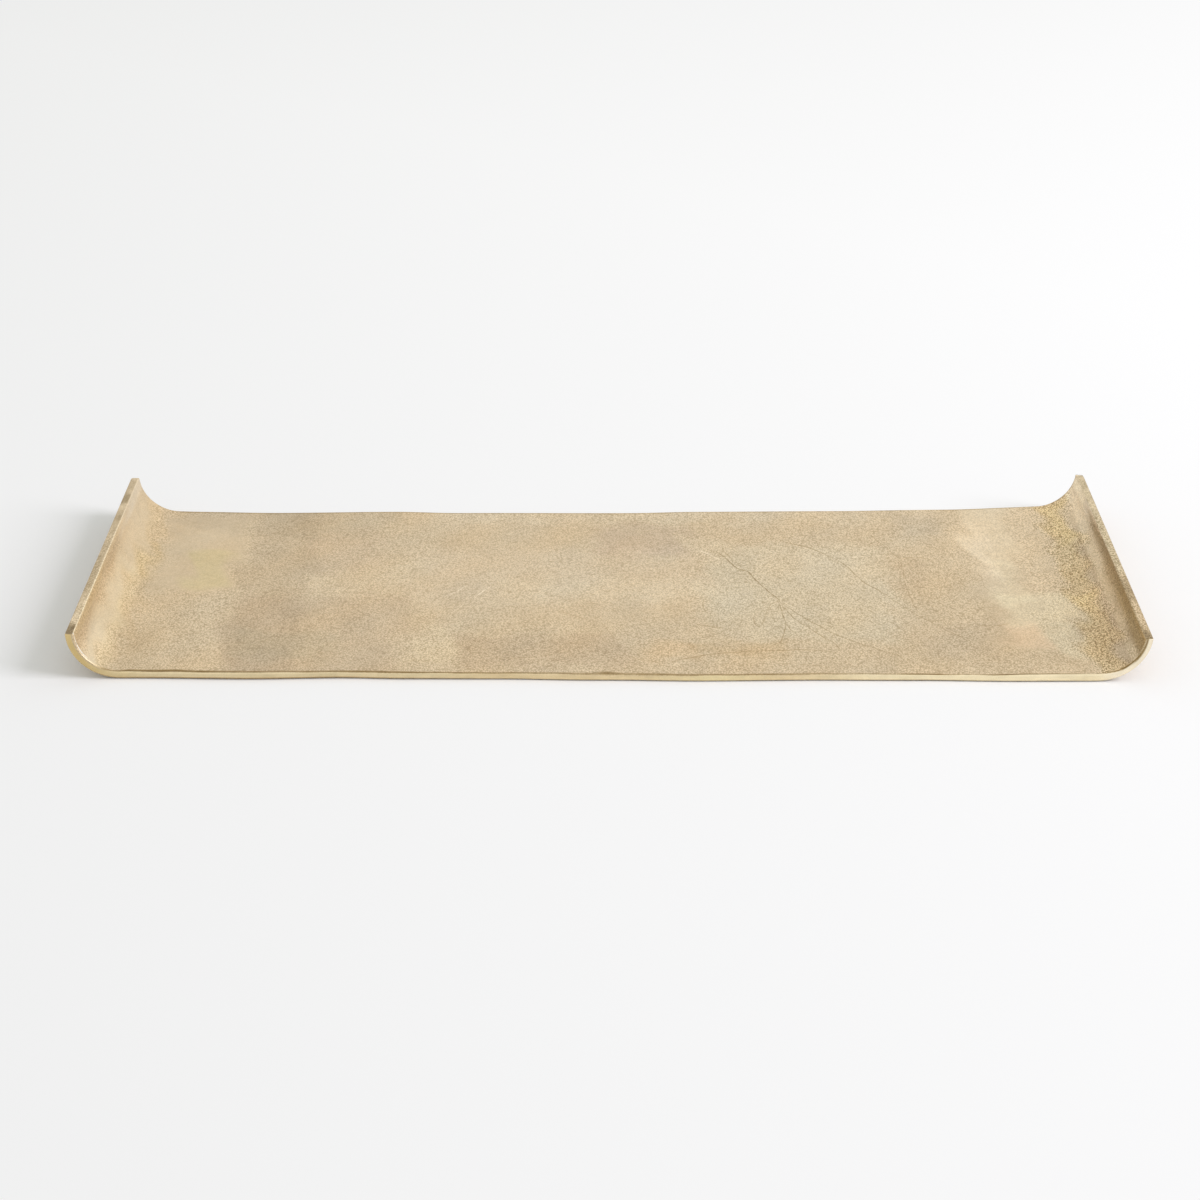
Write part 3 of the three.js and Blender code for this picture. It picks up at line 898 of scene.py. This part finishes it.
def felt_mesh(name, middle, seed):
    """A pressed disc with an uneven, napped rim and underside, and loose fibres round it."""
    rng = np.random.default_rng(seed)
    profile = np.array(felt_profile())
    turn = 2 * math.pi * np.arange(FELT_SEGMENTS) / FELT_SEGMENTS
    radius = np.repeat(profile[:, 0:1], FELT_SEGMENTS, 1)
    height = np.repeat(profile[:, 1:2], FELT_SEGMENTS, 1)
    nap = rng.uniform(0, 1, radius.shape) * (1 - smooth(*FELT_FUZZ_TOP, height))
    radius = radius - FELT_FUZZ * nap * smooth(FELT_FUZZ_FROM, FELT_RADIUS, radius)
    height = height + FELT_FUZZ * nap * (1 - smooth(0, FELT_EASE, height))
    points = np.stack([
        middle.x + radius * np.cos(turn), middle.y + radius * np.sin(turn), height,
    ], -1).reshape(-1, 3).tolist()
    index, faces = rings(*radius.shape)
    points += [(middle.x, middle.y, 0), (middle.x, middle.y, FELT_THICKNESS)]
    low, high = len(points) - 2, len(points) - 1
    for i in range(FELT_SEGMENTS):
        j = (i + 1) % FELT_SEGMENTS
        faces.append([low, int(index[0, j]), int(index[0, i])])
        faces.append([high, int(index[-1, i]), int(index[-1, j])])
    for _ in range(FIBRES):
        add_fibre(points, faces, middle, rng)
    mesh = bpy.data.meshes.new(name)
    mesh.from_pydata(points, [], faces)
    return mesh


def add_fibre(points, faces, middle, rng):
    """One bent hair that starts just inside the rim, as a thin closed tube."""
    turn = rng.uniform(0, 2 * math.pi)
    height, length = rng.uniform(*FIBRE_HEIGHT), rng.uniform(*FIBRE_LENGTH)
    heading = turn + rng.normal(0, FIBRE_HEADING)
    place = Vector((math.cos(turn), math.sin(turn), 0)) * (FELT_RADIUS - FIBRE_ROOT)
    place += Vector((middle.x, middle.y, height))
    bend, climb = rng.normal(0, FIBRE_BEND), rng.normal(0, FIBRE_CLIMB)
    start = len(points)
    for i in range(FIBRE_STEPS + 1):
        radius = FIBRE_RADIUS * (1 - FIBRE_TAPER * i / FIBRE_STEPS)
        side = Vector((-math.sin(heading), math.cos(heading), 0))
        for k in range(FIBRE_SIDES):
            angle = 2 * math.pi * k / FIBRE_SIDES
            spot = place + side * (radius * math.cos(angle)) + Vector((0, 0, radius * math.sin(angle)))
            points.append((spot.x, spot.y, min(max(spot.z, FIBRE_CLEAR), FELT_THICKNESS)))
        heading += bend / FIBRE_STEPS
        step = length / FIBRE_STEPS
        place = place + Vector((math.cos(heading), math.sin(heading), climb)) * step
    faces.extend(tube(FIBRE_STEPS + 1, FIBRE_SIDES, start))


# Materials

class Nodes:
    """The node tree of a material or the world, with short calls to add and link nodes."""

    def __init__(self, owner, shader):
        owner.use_nodes = True
        self.owner, self.tree = owner, owner.node_tree
        self.shader = self.tree.nodes[shader]

    def add(self, kind, inputs=None, **settings):
        node = self.tree.nodes.new(kind)
        for key, value in settings.items():
            setattr(node, key, value)
        for key, value in (inputs or {}).items():
            self.put(node.inputs[key], value)
        return node

    def put(self, socket, value):
        if isinstance(value, bpy.types.NodeSocket):
            self.tree.links.new(value, socket)
        else:
            socket.default_value = value

    def noise(self, scale, detail=2.0, roughness=0.5, stretch=(1, 1, 1)):
        place = self.add("ShaderNodeMapping", {"Vector": self.place, "Scale": stretch}).outputs[0]
        inputs = {"Vector": place, "Scale": scale, "Detail": detail, "Roughness": roughness}
        return self.add("ShaderNodeTexNoise", inputs).outputs["Fac"]

    def cells(self, scale):
        inputs = {"Vector": self.place, "Scale": scale}
        return self.add("ShaderNodeTexVoronoi", inputs).outputs["Distance"]

    def spread(self, value, low, high, out_low=0.0, out_high=1.0):
        inputs = {"Value": value, 1: low, 2: high, 3: out_low, 4: out_high}
        return self.add("ShaderNodeMapRange", inputs).outputs[0]

    def math(self, operation, a, b):
        return self.add("ShaderNodeMath", {0: a, 1: b}, operation=operation).outputs[0]

    def mix(self, share, a, b, blend="MIX"):
        settings = {"data_type": "RGBA", "blend_type": blend, "clamp_factor": False}
        return self.add("ShaderNodeMix", {0: share, 6: a, 7: b}, **settings).outputs[2]

    def attribute(self, name, output="Fac"):
        return self.add("ShaderNodeAttribute", attribute_name=name).outputs[output]

    def bump(self, height, strength, distance):
        inputs = {"Height": height, "Strength": strength, "Distance": distance}
        return self.add("ShaderNodeBump", inputs).outputs[0]

    def finish(self, **values):
        for key, value in values.items():
            self.put(self.shader.inputs[key.replace("_", " ")], value)
        return self.owner


def surface(name):
    nodes = Nodes(bpy.data.materials.new(name), "Principled BSDF")
    nodes.place = nodes.add("ShaderNodeTexCoord").outputs["Object"]
    return nodes


def srgb(colour):
    return (*linear(colour), 1.0)


# The cast grain: noise with pebbles taken out of it, in cells per metre, and the part of that relief
# that runs from crease to crest; browner in its creases, paler and bluer on its crests as a painted glint
# over a paler finish, and plain halfway
GRAIN, PEBBLES, PEBBLE_SHARE = 1050, 760, 0.55
RELIEF_RANGE = (0.04, 0.4)
RELIEF_MIDDLE = 0.55
CREASE = (0.74, 0.715, 0.66, 1.0)
CREST_PALE_AND_GLINT = (1.19, 1.215, 1.275, 1.0)
# Fine specks and soft mottling: cells per metre, and the tones between which they vary
SPECKS, SPECK_TONES = 2300, (0.95, 1.05)
MOTTLES, MOTTLE_TONES = 170, (0.955, 1.045)
# Brushing of the ground places, and the roughness and metal of both
BRUSHING, BRUSHING_STRETCH = 3000, (0.02, 1, 1)
ROUGH_SPOTS, CAST_ROUGH, GROUND_ROUGH = 260, (0.42, 0.52), (0.24, 0.36)
METALLIC = (0.72, 1.0)
BRUSHED_RELIEF = 0.08
CAST_BUMP = (0.5, 0.2 * MM)


def cast_brass():
    """Antique brass over cast grain: pebbled, creased and mottled, and bright and brushed where ground."""
    n = surface("cast_brass")
    coarse, ground = n.attribute("coarse"), n.attribute("ground")
    pebbles = n.math("MULTIPLY", n.cells(PEBBLES), PEBBLE_SHARE)
    relief = n.math("SUBTRACT", n.noise(GRAIN, 2.5, 0.6), pebbles)
    crest = n.math("SUBTRACT", n.spread(relief, *RELIEF_RANGE), RELIEF_MIDDLE)
    # the paler, bluer crests carry a painted glint
    grain_and_glints = n.mix(n.math("ADD", n.math("MULTIPLY", crest, coarse), 0.5), CREASE, CREST_PALE_AND_GLINT)
    speck = n.spread(n.noise(SPECKS), 0.35, 0.65, *SPECK_TONES)
    mottle = n.spread(n.noise(MOTTLES, 3, 0.6), 0.3, 0.7, *MOTTLE_TONES)
    base = n.mix(1.0, n.attribute("tint", "Color"), grain_and_glints, "MULTIPLY")
    base = n.mix(1.0, base, n.math("MULTIPLY", speck, mottle), "MULTIPLY")
    brushed = n.noise(BRUSHING, stretch=BRUSHING_STRETCH)
    rough = n.spread(n.noise(ROUGH_SPOTS), 0.3, 0.7, *CAST_ROUGH)
    rough_ground = n.spread(brushed, 0.3, 0.7, *GROUND_ROUGH)
    roughness = n.add("ShaderNodeMix", {0: ground, 2: rough, 3: rough_ground}, data_type="FLOAT").outputs[0]
    height = n.math("ADD", n.math("MULTIPLY", relief, coarse), n.math("MULTIPLY", brushed, BRUSHED_RELIEF))
    metallic = n.spread(ground, 0, 1, *METALLIC)
    normal = n.bump(height, *CAST_BUMP)
    return n.finish(Base_Color=base, Metallic=metallic, Roughness=roughness, Normal=normal)


FELT_DARK, FELT_PALE, FELT_FLECK = (38, 31, 26), (96, 83, 70), (112, 98, 84)
FELT_HAIRS, FELT_FLECKS, FLECK_SHARE = 1900, 420, 0.25
FELT_BUMP = (0.9, 0.25 * MM)


def felt():
    n = surface("felt")
    hairs = n.noise(FELT_HAIRS, 5, 0.75)
    fleck = n.spread(n.noise(FELT_FLECKS), 0.35, 0.65)
    base = n.mix(hairs, srgb(FELT_DARK), srgb(FELT_PALE))
    base = n.mix(n.math("MULTIPLY", fleck, FLECK_SHARE), base, srgb(FELT_FLECK))
    return n.finish(Base_Color=base, Roughness=0.96, Sheen_Weight=0.35, Normal=n.bump(hairs, *FELT_BUMP))


FOAM_PALE, FOAM_DARK = (228, 224, 214), (198, 192, 178)
FOAM_CELLS = 4200
FOAM_BUMP = (0.5, 0.05 * MM)


def foam_tape():
    n = surface("foam_tape")
    cell = n.cells(FOAM_CELLS)
    base = n.mix(cell, srgb(FOAM_PALE), srgb(FOAM_DARK))
    return n.finish(Base_Color=base, Roughness=0.7, Normal=n.bump(cell, *FOAM_BUMP))


# Pieces

def make_tray():
    finish = cast_brass()
    mesh, grid = casting_mesh()
    paint_casting(mesh, grid)
    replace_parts(keep("cast_tray", mesh, finish), "tray_casting")
    keep("cast_wrinkles", wrinkle_mesh(), finish)


def make_pads():
    felt_finish, tape_finish = felt(), foam_tape()
    for number, corner in enumerate(("front_left", "front_right", "back_left", "back_right")):
        low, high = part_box("felt_pad_" + corner)
        mesh = felt_mesh("felt_" + corner, (low + high) / 2, seed=60 + number)
        pad = keep("felt_" + corner, mesh, felt_finish)
        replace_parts(pad, "felt_pad_" + corner)
        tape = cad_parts["adhesive_" + corner].data.materials
        tape.clear()
        tape.append(tape_finish)


# Camera: fitted to the tray's corners and edges in the photograph
PHOTO_SIDE = 1200
FOCAL_PIXELS = 2233
CAMERA_PLACE = Vector((1.8, -1482.6, 814.6)) * MM
CAMERA_DOWN = math.radians(28.985)
CAMERA_TURN = math.radians(0.302)
CAMERA_ROLL = math.radians(-0.332)
SENSOR_WIDTH = 36


def make_camera():
    data = bpy.data.cameras.new("camera")
    data.sensor_fit = "HORIZONTAL"
    data.sensor_width = SENSOR_WIDTH
    data.lens = FOCAL_PIXELS / PHOTO_SIDE * SENSOR_WIDTH
    data.clip_start, data.clip_end = 0.05, 100
    piece = add_object("camera", data)
    piece.matrix_world = (
        Matrix.Translation(CAMERA_PLACE)
        @ Matrix.Rotation(CAMERA_TURN, 4, "Z")
        @ Matrix.Rotation(math.pi / 2 - CAMERA_DOWN, 4, "X")
        @ Matrix.Rotation(CAMERA_ROLL, 4, "Z")
    )
    bpy.context.scene.camera = piece


# Floor and light
FLOOR_SIDE = 40.0
# The sweep is painted a little paler to the right and at the back, as painted light: its two tones, where
# it is between them under the tray's middle, and how that share grows with each metre
FLOOR_DARK, FLOOR_LIGHT = 0.915, 0.985
FLOOR_SHARE = 0.46
FLOOR_PALER_RIGHT, FLOOR_PALER_BACK = 0.42, 0.55
KEY_PLACE = Vector((5.74, -1.4, 3.72))
KEY_SIZE = (2.7, 4.2)
KEY_POWER = 302
KEY_COLOUR = (1.0, 0.975, 1.055)
SKY_DIFFUSE = 0.67
SKY_SEEN = 1.0
SKY_TINT = (1.0, 1.011, 0.976, 1.0)
WHITE = (1, 1, 1, 1)


def make_floor():
    mesh = bpy.data.meshes.new("floor")
    half = FLOOR_SIDE / 2
    corners = [(-half, -half, 0), (half, -half, 0), (half, half, 0), (-half, half, 0)]
    mesh.from_pydata(corners, [], [(0, 1, 2, 3)])
    n = surface("floor")
    x, y, _ = n.add("ShaderNodeSeparateXYZ", {0: n.place}).outputs
    # painted light: paler to the right and at the back
    share = n.math("ADD", n.math("MULTIPLY", x, FLOOR_PALER_RIGHT), n.math("MULTIPLY", y, FLOOR_PALER_BACK))
    tone = n.spread(n.math("ADD", share, FLOOR_SHARE), 0, 1, FLOOR_DARK, FLOOR_LIGHT)
    white = n.add("ShaderNodeCombineXYZ", {0: tone, 1: tone, 2: tone}).outputs[0]
    mesh.materials.append(n.finish(Base_Color=white, Roughness=1.0, Specular_IOR_Level=0.0))
    piece = add_object("floor", mesh)


def make_key_light():
    data = bpy.data.lights.new("key", "AREA")
    data.shape = "RECTANGLE"
    data.size, data.size_y = KEY_SIZE
    data.energy = KEY_POWER
    data.color = KEY_COLOUR
    piece = add_object("key", data)
    piece.location = KEY_PLACE
    piece.rotation_mode = "QUATERNION"
    piece.rotation_quaternion = (-KEY_PLACE).to_track_quat("-Z", "Y")


def make_sky():
    """An even white world, seen at full strength; it lights matt surfaces less, and a touch greener."""
    world = bpy.data.worlds.new("studio")
    bpy.context.scene.world = world
    n = Nodes(world, "Background")
    path = n.add("ShaderNodeLightPath").outputs
    seen = n.math("MAXIMUM", path["Is Camera Ray"], path["Is Glossy Ray"])
    n.finish(Strength=n.spread(seen, 0, 1, SKY_DIFFUSE, SKY_SEEN), Color=n.mix(seen, SKY_TINT, WHITE))


make_tray()
make_pads()
make_camera()
make_floor()
make_key_light()
make_sky()
bpy.context.scene.view_settings.view_transform = "Standard"
